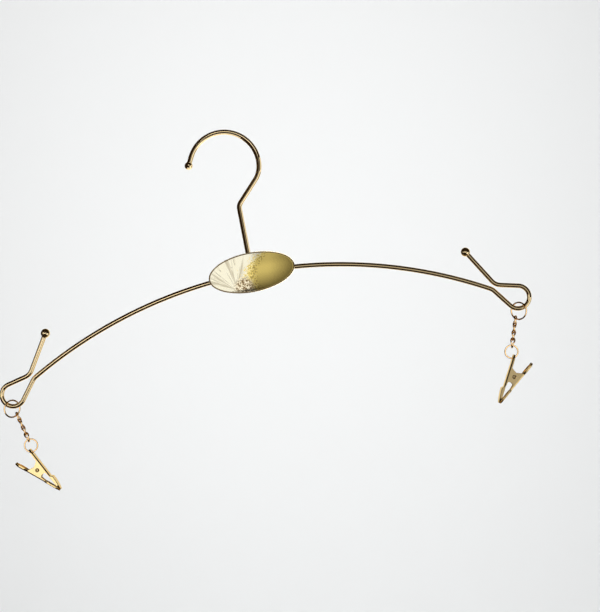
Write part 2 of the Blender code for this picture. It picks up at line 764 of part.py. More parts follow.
def build():
    """Builds every piece of the hanger."""
    clear_scene()
    gold = metal("polished_gold", (0.83, 0.62, 0.28), 0.12)
    warm_gold = metal("warm_gold", (0.80, 0.48, 0.22), 0.20)
    pale_gold = metal("plate_gold", (0.72, 0.62, 0.30), 0.22)

    route, tip_heading = hook_route()
    saddle = hook_saddle(route, tip_heading)
    shift = Vector((-saddle.x, 0, -saddle.y))

    half, leg_heading = arm_half()
    arm = [Vector((-x, z)) for x, z in half[:0:-1]] + half
    arm_wire = wire("arm_wire", in_plane(arm), ARM_WIRE_DIAMETER, WIRE_RESOLUTION, gold,
                    matrix=Matrix.Translation(shift))

    hook = to_mesh(wire("hook_wire", in_plane(route), HOOK_WIRE_DIAMETER, WIRE_RESOLUTION, gold,
                        matrix=Matrix.Translation(shift)))
    hang_under(hook, arm_wire)
    cope_radius = ARM_WIRE_DIAMETER / 2 + SEAT_GAP
    cope_reach = HOOK_WIRE_DIAMETER
    pairs = [(0, -cope_reach), (cope_radius, -cope_reach), (cope_radius, cope_reach), (0, cope_reach)]
    across = Matrix.Translation(shift - Z_AXIS * ARM_BELOW_PLATE_CENTRE) @ Matrix.Rotation(math.pi / 2, 4, "Z")
    cope = add_object("hook_cope", turned_mesh("hook_cope", round_profile(pairs), TURNED_STEPS), None, across)
    boolean(hook, make_cutter(cope), "DIFFERENCE")

    plate = add_plate(shift, pale_gold)
    hang_under(plate, arm_wire)

    hook_ball = add_ball("hook_ball", route[-1], tip_heading, HOOK_BALL_DIAMETER, HOOK_WIRE_DIAMETER,
                         gold, shift)
    hang_under(hook_ball, hook)

    places = {}
    for label, outward in (("right", 1), ("left", -1)):
        end = Vector((outward * half[-1].x, half[-1].y))
        heading = leg_heading if outward > 0 else math.pi - leg_heading
        ball = add_ball(label + "_arm_ball", end, heading, ARM_BALL_DIAMETER, ARM_WIRE_DIAMETER, gold, shift)
        hang_under(ball, arm_wire)
        loop = [Vector((outward * x, 0, z)) for x, z in half]
        loop_bottom = max(loop, key=RING_DOWN.dot) + shift
        places[label] = add_side(label, outward, loop_bottom, (gold, warm_gold))
    for label, joints in places.items():
        for name, place, axis in joints:
            print("joint", label, name, [round(v, 6) for v in place], [round(v, 5) for v in axis])
    coil = spring_points()[1:-1]
    print("spring: least gap between turns", round(least_gap(coil, SPRING_WIRE, SPRING_STEPS - 1), 6))
    print("plate centre", [round(v, 6) for v in shift])


build()
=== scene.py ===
"""Looks of a gold wire hanger with a sprung clip on a short chain at each end.

The frame gives the solids and their bodies. Finer pieces stand for them in the same places.
Units are metres, +Z is up and the front faces -Y, as in the frame.
"""
import math

import bmesh
import bpy
from mathutils import Matrix, Vector


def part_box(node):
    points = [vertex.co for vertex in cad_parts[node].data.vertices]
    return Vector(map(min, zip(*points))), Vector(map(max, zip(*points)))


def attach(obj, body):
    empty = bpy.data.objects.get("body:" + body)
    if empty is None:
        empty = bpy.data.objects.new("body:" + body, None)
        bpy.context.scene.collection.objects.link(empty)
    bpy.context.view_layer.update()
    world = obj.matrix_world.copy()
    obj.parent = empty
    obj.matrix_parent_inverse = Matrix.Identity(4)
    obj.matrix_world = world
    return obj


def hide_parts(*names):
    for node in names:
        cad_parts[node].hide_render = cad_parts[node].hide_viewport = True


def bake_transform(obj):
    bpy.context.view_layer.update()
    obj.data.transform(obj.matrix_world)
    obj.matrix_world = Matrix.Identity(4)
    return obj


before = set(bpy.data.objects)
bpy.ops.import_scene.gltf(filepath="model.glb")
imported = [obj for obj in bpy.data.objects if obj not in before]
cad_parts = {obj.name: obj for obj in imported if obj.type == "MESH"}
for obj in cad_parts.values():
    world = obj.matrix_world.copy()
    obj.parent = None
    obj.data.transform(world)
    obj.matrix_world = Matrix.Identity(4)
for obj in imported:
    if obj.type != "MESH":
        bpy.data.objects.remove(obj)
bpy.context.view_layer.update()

# Wires, as in the frame
ARM_WIRE_DIAMETER = 0.0030
HOOK_WIRE_DIAMETER = 0.0033
SEAT_GAP = 0.0003
ARCH_RADIUS = 0.3055
ARCH_TURN_DEG = 29.3
ARM_BELOW_PLATE_CENTRE = 0.0003
SHOULDER_RUN = 0.0010
SHOULDER_RADIUS = 0.0085
SHOULDER_TURN_DEG = 23.6
LOOP_ENTRY_RUN = 0.0139
LOOP_RADIUS = 0.0074
LOOP_TURN_DEG = 219.5
LOOP_EXIT_RUN = 0.0119
FLARE_RADIUS = 0.0080
FLARE_TURN_DEG = 45.1
FREE_LEG_LENGTH = 0.0239
HOOK_RADIUS = 0.0225
HOOK_TURN_DEG = 163.5
HOOK_TIP_RUN = 0.0042
HOOK_SIDE_RADIUS = 0.0160
HOOK_SIDE_TURN_DEG = 33.5
HOOK_SLANT_RUN = 0.0173
STEM_BEND_RADIUS = 0.0060
STEM_BEND_DEG = 43.5
STEM_HEIGHT_OVER_PLATE_CENTRE = 0.0419
ARM_BALL_DIAMETER = 0.0060
HOOK_BALL_DIAMETER = 0.0052
SOCKET_DEPTH_SHARE = 0.55

# Plate, as in the frame
PLATE_EDGE_THICKNESS = 0.0012
PLATE_CROWN = 0.0016
PLATE_RIM_WIDTH = 0.0006
PLATE_RIM_STEP = 0.00015

# Rings and chain, as in the frame
UPPER_RING_DIAMETER = 0.0120
UPPER_RING_WIRE = 0.0010
UPPER_RING_SLANT_DEG = 38.0
UPPER_RING_TILT_DEG = 10.9
LOWER_RING_DIAMETER = 0.0094
LOWER_RING_WIRE = 0.0010
LINK_COUNT = 4
LINK_LENGTH = 0.0072
LINK_WIDTH = 0.0048
LINK_WIRE = 0.0010
LINK_TWIST_DEG = 90.0
LINK_GAP = 0.0004
CHAIN_LEAD_DEG = {"left": 45.0, "right": 30.0}
CHAIN_LEAN_DEG = {"left": 13.0, "right": 17.5}

# Clip, as in the frame
JAW_SHEET = 0.0006
JAW_HALF_ANGLE_DEG = 11.2
NOSE_LENGTH = 0.0110
PIVOT_FROM_TIP = 0.0196
CLIP_LEAN_DEG = {"left": 38.0, "right": 39.5}
SPRING_LEG_REACH = 0.0072
RIVET_HEAD_HEIGHT = 0.0006
RIVET_PLAY = 0.0003
RIVET_DIAMETER = 0.0016
RIVET_HEAD_DIAMETER = 0.0026
CLIP_WIDTH = 0.0064
COIL_PLAY = 0.00036
SPRING_WIRE = 0.0005
SPRING_TURNS = 2.0
SPRING_PITCH = 0.00095

# Soldered necks of the balls, seams of the rings and links, solder behind the plate, and rivets
BALL_NECK = 0.00045
NECK_BORE_SHARE = 0.8
NECK_SLOPE = 0.2
SEAM_GAP = 0.00010
SEAM_CHAMFER = 0.00010
UPPER_SEAM_SHARE = 0.3
LOWER_SEAM_SHARE = 0.85
SOLDER_LENGTH = 0.0090
SOLDER_WIDTH = 0.0044
SOLDER_THICKNESS = 0.0014
SOLDER_FULLNESS = 0.5
RIVET_BORE_DIAMETER = 0.0009
RIVET_BORE_DEPTH = 0.0012

# Bends of the jaws' sheet, and how far each kind of edge is rounded
JAW_BEND_RADIUS = 0.0008
BEND_STRIP = 0.00085
BACK_MARGIN = 0.00002
EYE_SHARE = 0.2
CUT_EDGE_SHARE = 0.06
NOSE_BEND_SHARE = 0.5
INNER_BEND_SHARE = 1 - JAW_SHEET / JAW_BEND_RADIUS
WELD_DISTANCE = 0.000002
FLAT_DEG = 1.0
ROUNDED_DEG = 30.0
UPRIGHT_SHARE = 0.8
FACING_SHARE = 0.5

# Fineness of the meshes
SHARP_DEG = 40.0
ARC_SAGITTA = 0.000006
STRAIGHT_STEP = 0.004
WIRE_SIDES = 28
NECK_STEPS = 6
RING_SIDES = 18
RING_STEPS = 96
LINK_STEPS = 72
SPRING_SIDES = 12
SPRING_STEPS = 32
LEG_STEPS = 10
BEND_STEPS = 4
TURNED_STEPS = 56
ROLL_STEPS = 12
SOLDER_STEPS = 10
PLATE_STEPS = 224
PLATE_RINGS = 40
CORNER_STEPS = 4
DARK_BEAD_STEPS = 6

# Creases of the plate, which fan out from a point near its lower edge
FAN_PLACE = (-0.0114, -0.0094)
FAN_SLANT = 0.7
FAN_FADE = 0.0015
FAN_REACH = 0.008
CREASE_DEPTH = 0.000012
CREASE_WAVES = ((23, 0.4, 0.5), (31, 1.9, 0.3), (13, 2.6, 0.4))

# Painted reflections on the plate: a pale left half and an olive right half, a bright and a dim reflection of
# one gold, which meet along a bowed speckled line.
# Bands are measured across that line, in its widths, and cuts are levels of a noise.
PALE_PAINTED_REFLECTION = (1.0, 0.96, 0.78)
PALE_PAINTED_REFLECTION_SHADE = (0.98, 0.92, 0.68)
GOLD_SPECKS = (1.0, 0.87, 0.42)
OLIVE_PAINTED_REFLECTION = (1.0, 0.78, 0.23)
# Painted shade in the groove inside the rim
GROOVE_PAINTED_SHADE = (0.20, 0.13, 0.07)
GROOVE_WIDTH = 0.00030
MEETING_PLACE = (-0.0034, -0.0040)
MEETING_BOW = 50.0
MEETING_WIDTH = 0.0050
NOISE_MIDDLE = 0.5
GOLD_BAND = (-0.4, 0.3)
OLIVE_BAND = (-0.25, 0.25)
FLECK_MIDDLE = 0.5
FLECK_BAND = (0.3, 1.1)
FLECK_CUT = (0.03, 0.09)
FLECK_SHARE = 0.85
FLECK_COLOUR = (0.48, 0.36, 0.10)
SPECK_SIZE = 0.0010
NOISE_DETAIL = 2.0
SPECK_CONTRAST = 6.0
# Painted shade in the creases' wedges and along their fold lines
CREASE_PAINTED_SHADE = (0.66, 0.60, 0.44)
CREASE_CUT = (0.50, 0.60)
FOLD_PAINTED_SHADE = (0.42, 0.36, 0.24)
FOLD_SHARE = 0.55
FOLD_WIDTH = 0.02
CREASES_PER_RADIAN = 7.0
CREASE_RUN = 0.030
CREASES_FROM = -0.0060
CREASES_TO = -0.0025
# Painted highlights and shade of the crumpled metal at the creases' foot
FOOT_PLACE = (-0.0065, -0.0085)
FOOT_NEAR = 0.0040
FOOT_FAR = 0.0078
FOOT_PAINTED_LIGHT_AND_SHADE = ((0.42, (0.20, 0.11, 0.03)), (0.49, (0.85, 0.60, 0.26)), (0.56, (1.0, 0.89, 0.62)))

# Plating
EDGE_TINT = (1.0, 0.86, 0.60, 1)
CLIP_EDGE_TINT = (0.86, 0.76, 0.56, 1)
PATCH_DETAIL = 4
GLOSS_BAND = (0.3, 0.7)
RIPPLE_SHARE = 6
RIPPLE_DETAIL = 1

# Studio
PAPER_BACK = 1.7
PAPER_TOP = 2.6
PAPER_FLOOR = -1.5
PAPER_SWEEP = 0.8
PAPER_HALF_WIDTH = 3.5
PAPER_STEPS = 24
PAPER_COLOUR = (0.915, 0.93, 0.935)
PAPER_ROUGHNESS = 0.9
PLATE_LIGHT_LEAN_DEG = 8.0
FLOOR_SPREAD_DEG = 120.0
PALE_SIDE = (0.30, -0.10, -1.0)
PALE_SEEN_FROM = 0.62
PALE_SEEN_TO = 0.85
ROOM_COLOUR = (0.020, 0.012, 0.006)
MIRRORED_PAPER_COLOUR = (0.92, 0.91, 0.86)
BEYOND_PAPER_COLOUR = (0.89, 0.905, 0.91)

# Camera: its place, its aim and its roll are fitted to the photographed wires
LENS_MM = 85.0
SENSOR_MM = 36.0
CAMERA_PLACE = Vector((0.0214, -0.9404, -0.1082))
CAMERA_YAW_DEG = 0.59
CAMERA_PITCH_DEG = -0.66
CAMERA_ROLL_DEG = 10.95

X_AXIS = Vector((1, 0, 0))
Y_AXIS = Vector((0, 1, 0))
Z_AXIS = Vector((0, 0, 1))
RING_DOWN = Matrix.Rotation(math.radians(UPPER_RING_TILT_DEG), 3, "Y") @ -Z_AXIS
plate_low, plate_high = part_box("name_plate")
PLATE_CENTRE = Vector(((plate_low.x + plate_high.x) / 2, 0, (plate_low.z + plate_high.z) / 2))
PLATE_WIDTH = plate_high.x - plate_low.x
PLATE_HEIGHT = plate_high.z - plate_low.z


# Meshes

def add_piece(name, vertices, faces, material, body, nodes=()):
    """Makes a smooth mesh piece, which rides on a body and stands for CAD nodes."""
    mesh = bpy.data.meshes.new(name)
    mesh.from_pydata([tuple(v) for v in vertices], [], faces)
    build = bmesh.new()
    build.from_mesh(mesh)
    bmesh.ops.recalc_face_normals(build, faces=build.faces)
    build.to_mesh(mesh)
    build.free()
    mesh.shade_smooth()
    mesh.set_sharp_from_angle(angle=math.radians(SHARP_DEG))
    mesh.materials.append(material)
    piece = bpy.data.objects.new(name, mesh)
    bpy.context.scene.collection.objects.link(piece)
    if body is not None:
        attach(piece, body)
    if nodes:
        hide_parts(*nodes)
    return piece


def frames_along(points):
    """The direction of a route at each point, and a sideways direction carried along it without twist."""
    last = len(points) - 1
    directions = []
    for number in range(len(points)):
        before = points[max(number - 1, 0)]
        after = points[min(number + 1, last)]
        directions.append((after - before).normalized())
    side = directions[0].orthogonal().normalized()
    sides = [side]
    for old, new in zip(directions, directions[1:]):
        side = (old.rotation_difference(new) @ side).normalized()
        side = (side - new * side.dot(new)).normalized()
        sides.append(side)
    return directions, sides


def tube(points, radii, sides):
    """Vertices and faces of a capped tube with a radius at each point."""
    directions, across = frames_along(points)
    vertices = []
    for point, direction, side, radius in zip(points, directions, across, radii):
        other = direction.cross(side)
        for step in range(sides):
            angle = math.tau * step / sides
            vertices.append(point + radius * (math.cos(angle) * side + math.sin(angle) * other))
    faces = []
    for ring in range(len(points) - 1):
        for step in range(sides):
            after = (step + 1) % sides
            low = ring * sides
            high = low + sides
            faces.append((low + step, low + after, high + after, high + step))
    faces.append(tuple(range(sides)))
    last = (len(points) - 1) * sides
    faces.append(tuple(last + step for step in range(sides)))
    return vertices, faces


def turned(profile, steps, matrix):
    """Vertices and faces of a solid turned about +Y, from (radius, y) pairs."""
    vertices = []
    rings = []
    for radius, y in profile:
        if radius == 0:
            rings.append([len(vertices)])
            vertices.append(matrix @ Vector((0, y, 0)))
            continue
        rings.append(list(range(len(vertices), len(vertices) + steps)))
        for step in range(steps):
            angle = math.tau * step / steps
            vertices.append(matrix @ Vector((radius * math.cos(angle), y, radius * math.sin(angle))))
    faces = []
    for low, high in zip(rings, rings[1:]):
        for step in range(steps):
            after = (step + 1) % steps
            if len(low) == 1:
                faces.append((low[0], high[after], high[step]))
            elif len(high) == 1:
                faces.append((low[step], low[after], high[0]))
            else:
                faces.append((low[step], low[after], high[after], high[step]))
    return vertices, faces


# Wires

def bend_wire(start, heading_deg, runs):
    """Centreline of a wire bent in a plane, as points (x, z), and its last heading.

    Each run is a straight length, then a bend radius and a turn in degrees, positive to the left.
    """
    points = [Vector(start)]
    heading = math.radians(heading_deg)
    for length, radius, turn_deg in runs:
        direction = Vector((math.cos(heading), math.sin(heading)))
        steps = math.ceil(length / STRAIGHT_STEP)
        first = points[-1]
        for step in range(1, steps + 1):
            points.append(first + direction * length * step / steps)
        if turn_deg == 0:
            continue
        side = math.copysign(1, turn_deg)
        centre = points[-1] + side * radius * Vector((-math.sin(heading), math.cos(heading)))
        step_angle = 2 * math.acos(1 - ARC_SAGITTA / radius)
        steps = math.ceil(math.radians(abs(turn_deg)) / step_angle)
        arm = points[-1] - centre
        for step in range(1, steps + 1):
            angle = math.radians(turn_deg) * step / steps
            points.append(centre + Matrix.Rotation(angle, 2) @ arm)
        heading += math.radians(turn_deg)
    return points, heading


def in_plane(points, mirror=1):
    """Lifts points (x, z) about the plate's centre into the plane y = 0."""
    return [PLATE_CENTRE + Vector((mirror * x, 0, z)) for x, z in points]


def arm_half():
    """Right half of the arm wire from the middle outwards, and the heading of its free leg."""
    return bend_wire((0, -ARM_BELOW_PLATE_CENTRE), 0, [
        (0, ARCH_RADIUS, -ARCH_TURN_DEG),
        (SHOULDER_RUN, SHOULDER_RADIUS, -SHOULDER_TURN_DEG),
        (LOOP_ENTRY_RUN, LOOP_RADIUS, LOOP_TURN_DEG),
        (LOOP_EXIT_RUN, FLARE_RADIUS, -FLARE_TURN_DEG),
        (FREE_LEG_LENGTH, 0, 0),
    ])


def hook_route():
    """Hook wire from its foot on the arm wire to its tip, and the heading of its tip."""
    foot = -ARM_BELOW_PLATE_CENTRE
    return bend_wire((0, foot), 90, [
        (STEM_HEIGHT_OVER_PLATE_CENTRE - foot, STEM_BEND_RADIUS, -STEM_BEND_DEG),
        (HOOK_SLANT_RUN, HOOK_SIDE_RADIUS, HOOK_SIDE_TURN_DEG),
        (0, HOOK_RADIUS, HOOK_TURN_DEG),
        (HOOK_TIP_RUN, 0, 0),
    ])


def add_wire(name, points, diameter, material):
    """A round wire that stands for the CAD node of the same name."""
    radii = [diameter / 2] * len(points)
    vertices, faces = tube(points, radii, WIRE_SIDES)
    return add_piece(name + "_fine", vertices, faces, material, "frame", [name])


def add_ball(name, wire_end, direction, diameter, wire_diameter, material):
    """A ball on a wire's end, with a small soldered neck."""
    radius = diameter / 2
    wire_radius = wire_diameter / 2
    centre = wire_end + direction * (radius * (1 - SOCKET_DEPTH_SHARE) + SEAT_GAP)
    mouth = -math.sqrt(radius ** 2 - wire_radius ** 2)
    inside = wire_radius * NECK_BORE_SHARE
    profile = [(0, mouth), (inside, mouth), (inside, mouth - BALL_NECK), (wire_radius, mouth - BALL_NECK)]
    start = math.asin(wire_radius / radius) + BALL_NECK / radius
    touch = (radius * math.sin(start), -radius * math.cos(start))
    corner = (wire_radius, touch[1] - (touch[0] - wire_radius) * NECK_SLOPE)
    foot = profile[-1]
    for step in range(1, NECK_STEPS + 1):
        t = step / NECK_STEPS
        low, middle, high = (1 - t) ** 2, 2 * t * (1 - t), t * t
        profile.append(tuple(low * foot[i] + middle * corner[i] + high * touch[i] for i in (0, 1)))
    steps = TURNED_STEPS // 2
    for step in range(1, steps):
        angle = start + (math.pi - start) * step / steps
        profile.append((radius * math.sin(angle), -radius * math.cos(angle)))
    profile.append((0, radius))
    matrix = Matrix.Translation(centre) @ Y_AXIS.rotation_difference(direction).to_matrix().to_4x4()
    vertices, faces = turned(profile, TURNED_STEPS, matrix)
    return add_piece(name + "_fine", vertices, faces, material, "frame", [name])


# Rings and chain

def seamed(points, wire_diameter, seam_step):
    """Opens a closed centreline at one step into a butt seam, with chamfered ends."""
    count = len(points)
    route = [points[(seam_step + step) % count] for step in range(count)] + [points[seam_step]]
    first = (route[1] - route[0]).normalized()
    last = (route[-2] - route[-1]).normalized()
    start = route[0] + first * SEAM_GAP / 2
    end = route[-1] + last * SEAM_GAP / 2
    inner = [start + first * SEAM_CHAMFER] + route[1:-1] + [end + last * SEAM_CHAMFER]
    radius = wire_diameter / 2
    route = [start] + inner + [end]
    radii = [radius - SEAM_CHAMFER] + [radius] * len(inner) + [radius - SEAM_CHAMFER]
    return route, radii


def add_ring(name, centre, normal, diameter, wire_diameter, seam_share, material):
    """A jump ring with a butt seam."""
    turn = Y_AXIS.rotation_difference(normal).to_matrix()
    mean = (diameter - wire_diameter) / 2
    points = []
    for step in range(RING_STEPS):
        angle = math.tau * step / RING_STEPS
        points.append(centre + turn @ Vector((mean * math.sin(angle), 0, -mean * math.cos(angle))))
    route, radii = seamed(points, wire_diameter, round(seam_share * RING_STEPS))
    vertices, faces = tube(route, radii, RING_SIDES)
    return add_piece(name + "_fine", vertices, faces, material, name, [name])


def turned_about(vector, axis, angle_deg):
    """A vector turned about an axis."""
    return Matrix.Rotation(math.radians(angle_deg), 3, axis) @ vector


def chain_places(start, lead, down, first_side, hand):
    """Centre and middle direction of each link, hung from the upper ring's wire at start."""
    across = down.cross(Y_AXIS)
    slant = math.atan2(first_side.dot(across), first_side.dot(Y_AXIS))
    torsion = math.remainder(math.pi / 2 - slant, math.pi) / (LINK_COUNT + 1)
    twist_deg = hand * LINK_TWIST_DEG
    half_length = (LINK_LENGTH - LINK_WIRE) / 2
    places = []
    top = start - (lead + down).normalized() * ((UPPER_RING_WIRE + LINK_WIRE) / 2 + LINK_GAP)
    side = turned_about(first_side, down, math.degrees(torsion))
    for _ in range(LINK_COUNT):
        bottom = top + down * 2 * half_length
        places.append(((top + bottom) / 2, turned_about(side, down, twist_deg / 2)))
        side = turned_about(side, down, math.degrees(torsion))
        top = bottom - down * (LINK_WIRE + LINK_GAP)
    return places


def add_link(name, centre, down, middle, hand, material):
    """A twisted curb link with a butt seam on one of its long sides."""
    third = down.cross(middle).normalized()
    turn = Matrix((down, third.cross(down), third)).transposed()
    half_length = (LINK_LENGTH - LINK_WIRE) / 2
    half_width = (LINK_WIDTH - LINK_WIRE) / 2
    points = []
    for step in range(LINK_STEPS):
        angle = math.tau * step / LINK_STEPS
        x = half_length * math.cos(angle)
        side = half_width * math.sin(angle)
        twist = hand * math.radians(LINK_TWIST_DEG) / 2 * x / half_length
        points.append(centre + turn @ Vector((x, side * math.cos(twist), side * math.sin(twist))))
    route, radii = seamed(points, LINK_WIRE, LINK_STEPS // 4)
    vertices, faces = tube(route, radii, RING_SIDES)
    return add_piece(name + "_fine", vertices, faces, material, name, [name])


# Plate

def crease(x, z):
    """Relief of the pressed creases, which fan out from a point near the plate's lower edge."""
    across = x - FAN_PLACE[0]
    up = z - FAN_PLACE[1]
    reach = math.hypot(across, up)
    angle = math.atan2(up, across)
    wave = 0.0
    for count, phase, share in CREASE_WAVES:
        wave += share * math.cos(count * angle + phase)
    share = 1 / (1 + math.exp((x - z * FAN_SLANT) / FAN_FADE))
    return CREASE_DEPTH * wave * share * min(1, reach / FAN_REACH)


def add_plate(material, groove_shade_material, back_material):
    """The crowned oval plate with a rounded rim, a flat back and faint creases; painted shade darkens the
    inner side of the rim's bead and the groove inside it.
    """
    half_width = PLATE_WIDTH / 2
    half_height = PLATE_HEIGHT / 2
    back = plate_high.y
    edge = back - PLATE_EDGE_THICKNESS
    corner = PLATE_RIM_STEP
    profile = [(corner, back)]
    for step in range(1, CORNER_STEPS + 1):
        angle = math.pi / 2 * step / CORNER_STEPS
        profile.append((corner * (1 - math.sin(angle)), back - corner * (1 - math.cos(angle))))
    bead = PLATE_RIM_WIDTH / 2
    for step in range(ROLL_STEPS + 1):
        angle = math.pi * step / ROLL_STEPS
        profile.append((bead * (1 - math.cos(angle)), edge + bead - bead * math.sin(angle)))
    first_dark = len(profile) - 1 - DARK_BEAD_STEPS
    vertices = [Vector((0, back, 0))]
    faces = []
    rings = []
    for inset, y in profile:
        rings.append((half_width - inset, half_height - inset, y, False))
    inner_width = half_width - PLATE_RIM_WIDTH
    inner_height = half_height - PLATE_RIM_WIDTH
    floor = edge + corner
    rings[-1] = (inner_width, inner_height, floor, False)
    last_dark = len(rings)
    inner_width -= GROOVE_WIDTH
    inner_height -= GROOVE_WIDTH
    rings.append((inner_width, inner_height, floor, False))
    for ring in range(PLATE_RINGS - 1, 0, -1):
        share = ring / PLATE_RINGS
        rise = PLATE_CROWN * (1 - share * share)
        rings.append((inner_width * share, inner_height * share, floor - rise, True))
    for width, height, y, field in rings:
        for step in range(PLATE_STEPS):
            angle = math.tau * step / PLATE_STEPS
            x, z = width * math.cos(angle), height * math.sin(angle)
            vertices.append(Vector((x, y - (crease(x, z) if field else 0), z)))
    vertices.append(Vector((0, floor - PLATE_CROWN - crease(0, 0), 0)))
    for step in range(PLATE_STEPS):
        after = (step + 1) % PLATE_STEPS
        faces.append((0, 1 + after, 1 + step))
        for ring in range(len(rings) - 1):
            low = 1 + ring * PLATE_STEPS
            high = low + PLATE_STEPS
            faces.append((low + step, low + after, high + after, high + step))
        last = 1 + (len(rings) - 1) * PLATE_STEPS
        faces.append((last + step, last + after, len(vertices) - 1))
    vertices = [vertex + PLATE_CENTRE for vertex in vertices]
    piece = add_piece("name_plate_fine", vertices, faces, material, "frame", ["name_plate"])
    piece.data.materials.append(groove_shade_material)
    piece.data.materials.append(back_material)
    for step in range(PLATE_STEPS):
        first_face = step * (len(rings) + 1)
        for number in range(first_dark + 1):
            piece.data.polygons[first_face + number].material_index = 2
        # Painted shade on the inner side of the bead and in the groove
        for number in range(first_dark + 1, last_dark + 1):
            piece.data.polygons[first_face + number].material_index = 1
    return piece


def add_solder(name, middle, direction, material):
    """A flat bead of solder between a wire and the plate's back."""
    profile = [(0, -SOLDER_LENGTH / 2)]
    for step in range(1, SOLDER_STEPS):
        angle = math.pi * step / SOLDER_STEPS
        width = SOLDER_WIDTH * math.sin(angle) ** SOLDER_FULLNESS
        profile.append((width / 2, -SOLDER_LENGTH / 2 * math.cos(angle)))
    profile.append((0, SOLDER_LENGTH / 2))
    turn = Matrix((Y_AXIS.cross(direction), direction, Y_AXIS)).transposed().to_4x4()
    flat = Matrix.Diagonal((1, 1, SOLDER_THICKNESS / SOLDER_WIDTH, 1))
    place = Vector((middle.x, plate_high.y + SEAT_GAP / 2, middle.z))
    vertices, faces = turned(profile, TURNED_STEPS, Matrix.Translation(place) @ turn @ flat)
    return add_piece(name, vertices, faces, material, "frame")


# Clips

HALF_ANGLE = math.radians(JAW_HALF_ANGLE_DEG)
JAW_TIP = (PIVOT_FROM_TIP, (JAW_SHEET + SEAT_GAP / 2) / math.cos(HALF_ANGLE))


def jaw_to_clip(u, w, side):
    """Places a jaw's own (u, w) in the clip: u from the tip to the handle, w inwards."""
    x = JAW_TIP[0] - u * math.cos(HALF_ANGLE) - w * math.sin(HALF_ANGLE)
    z = JAW_TIP[1] + u * math.sin(HALF_ANGLE) - w * math.cos(HALF_ANGLE)
    return x, side * z


def clip_matrix(label, outward):
    """The clip's own frame: the rivet at the origin, +X towards the tips and +Z towards the ring jaw."""
    low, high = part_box(label + "_clip_rivet")
    lean = math.radians(CLIP_LEAN_DEG[label])
    nose = Vector((-outward * math.sin(lean), 0, -math.cos(lean)))
    upper = Vector((-outward * math.cos(lean), 0, math.sin(lean)))
    turn = Matrix((nose, upper.cross(nose), upper)).transposed().to_4x4()
    return Matrix.Translation((low + high) / 2) @ turn


def place_on_jaw(point, matrix, side):
    """How far a point lies from the tip along a jaw, below its back and off its middle plane."""
    local = matrix.inverted() @ point
    x = local.x - JAW_TIP[0]
    z = side * local.z - JAW_TIP[1]
    along = z * math.sin(HALF_ANGLE) - x * math.cos(HALF_ANGLE)
    depth = -x * math.sin(HALF_ANGLE) - z * math.cos(HALF_ANGLE)
    return along, depth, abs(local.y)


def jaw_outwards(matrix, side):
    """The direction in which a jaw's back faces."""
    return matrix.to_3x3() @ Vector((math.sin(HALF_ANGLE), 0, side * math.cos(HALF_ANGLE)))


def clear_bends(build, matrix, side):
    """Leaves a plain strip of sheet on both sides of each long bend, so that it can be rounded evenly."""
    corner = matrix @ Vector((JAW_TIP[0], 0, side * JAW_TIP[1]))
    outwards = jaw_outwards(matrix, side)
    middle = matrix.translation
    across = CLIP_WIDTH / 2 - BEND_STRIP
    for place, normal in ((corner - outwards * BEND_STRIP, outwards),
                          (middle + across * Y_AXIS, Y_AXIS), (middle - across * Y_AXIS, Y_AXIS)):
        geometry = build.verts[:] + build.edges[:] + build.faces[:]
        bmesh.ops.bisect_plane(build, geom=geometry, dist=WELD_DISTANCE, plane_co=place, plane_no=normal)
    spare = []
    for edge in build.edges:
        if len(edge.link_faces) != 2 or edge.calc_face_angle() > math.radians(FLAT_DEG):
            continue
        along, depth, off = place_on_jaw((edge.verts[0].co + edge.verts[1].co) / 2, matrix, side)
        if depth < BEND_STRIP - WELD_DISTANCE and off > CLIP_WIDTH / 2 - BEND_STRIP + WELD_DISTANCE:
            spare.append(edge)
    bmesh.ops.dissolve_edges(build, edges=spare, use_verts=True)


def bend_share(edge, matrix, side):
    """How far an edge of a jaw is rounded: fully where the sheet bends, little where it is cut."""
    if len(edge.link_faces) != 2 or edge.calc_face_angle() < math.radians(ROUNDED_DEG):
        return 0.0
    ends = [place_on_jaw(vertex.co, matrix, side) for vertex in edge.verts]
    deepest = max(depth for along, depth, off in ends)
    innermost = min(off for along, depth, off in ends)
    if deepest > JAW_SHEET + BACK_MARGIN or innermost < CLIP_WIDTH * EYE_SHARE:
        return CUT_EDGE_SHARE
    flat, upright = sorted((face.normal for face in edge.link_faces), key=lambda normal: abs(normal.y))
    facing = flat.dot(jaw_outwards(matrix, side))
    if abs(upright.y) < UPRIGHT_SHARE or abs(facing) < FACING_SHARE:
        return CUT_EDGE_SHARE
    share = 1.0 if ends[0][0] + ends[1][0] > 2 * NOSE_LENGTH else NOSE_BEND_SHARE
    return share if facing > 0 else share * INNER_BEND_SHARE


def add_jaw(name, body, side, matrix, material):
    """A jaw with the CAD solid's own shape, whose sheet is bent round."""
    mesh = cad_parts[name].data.copy()
    build = bmesh.new()
    build.from_mesh(mesh)
    bmesh.ops.remove_doubles(build, verts=build.verts, dist=WELD_DISTANCE)
    bmesh.ops.dissolve_limit(build, angle_limit=math.radians(FLAT_DEG), verts=build.verts, edges=build.edges)
    clear_bends(build, matrix, side)
    weight = build.edges.layers.float.new("bevel_weight_edge")
    for edge in build.edges:
        edge[weight] = bend_share(edge, matrix, side)
    build.to_mesh(mesh)
    build.free()
    mesh.materials.clear()
    mesh.materials.append(material)
    mesh.shade_smooth()
    piece = bpy.data.objects.new(name + "_fine", mesh)
    bpy.context.scene.collection.objects.link(piece)
    bends = piece.modifiers.new("bends", "BEVEL")
    bends.width = JAW_BEND_RADIUS
    bends.segments = BEND_STEPS
    bends.limit_method = "WEIGHT"
    bends.use_clamp_overlap = False
    bends.loop_slide = False
    weights = piece.modifiers.new("weights", "WEIGHTED_NORMAL")
    weights.keep_sharp = True
    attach(piece, body)
    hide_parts(name)
    return piece


